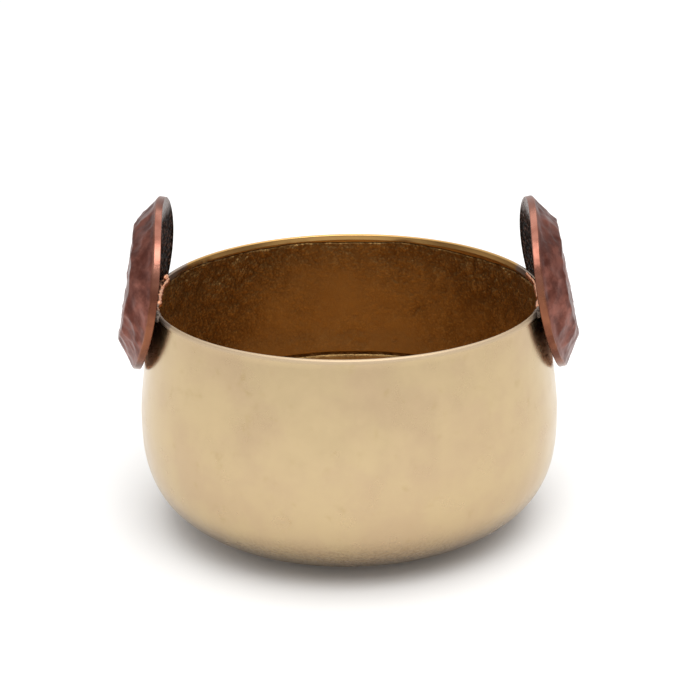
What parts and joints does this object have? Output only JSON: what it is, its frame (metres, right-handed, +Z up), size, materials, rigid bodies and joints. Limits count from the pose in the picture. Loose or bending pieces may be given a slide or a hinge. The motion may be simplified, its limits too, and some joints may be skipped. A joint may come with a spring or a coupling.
{
  "type": "metal bowl with disc handles",
  "caption": "Round-bellied cast brass bowl with a rough-cast inside, and a thick hammered copper disc brazed upright to the rim on each side as a handle.",
  "frame": {"origin": "centre of the flat that the bowl stands on", "axes": "+Z up, through the middle of the mouth; X runs through the two handle discs, left handle at -X; -Y is the front"},
  "size_m": [0.2852, 0.26, 0.2081],
  "materials": {
    "lower_bowl": "satin polished outside, sand-cast inside",
    "upper_wall": "satin polished outside, sand-cast inside",
    "belly_seam_braze": "as brazed, dull",
    "handle_disc_left": "hammered copper, burnished edge",
    "handle_disc_right": "hammered copper, burnished edge",
    "rim_weld_left": "as welded copper, dull grey ends",
    "rim_weld_right": "as welded copper, dull grey ends"
  },
  "bodies": {
    "root": {"lower_bowl": "lower_bowl", "upper_wall": "upper_wall", "belly_seam_braze": "belly_seam_braze", "handle_disc_left": "handle_disc_left", "handle_disc_right": "handle_disc_right", "rim_weld_left": "rim_weld_left", "rim_weld_right": "rim_weld_right"}
  },
  "joints": []
}
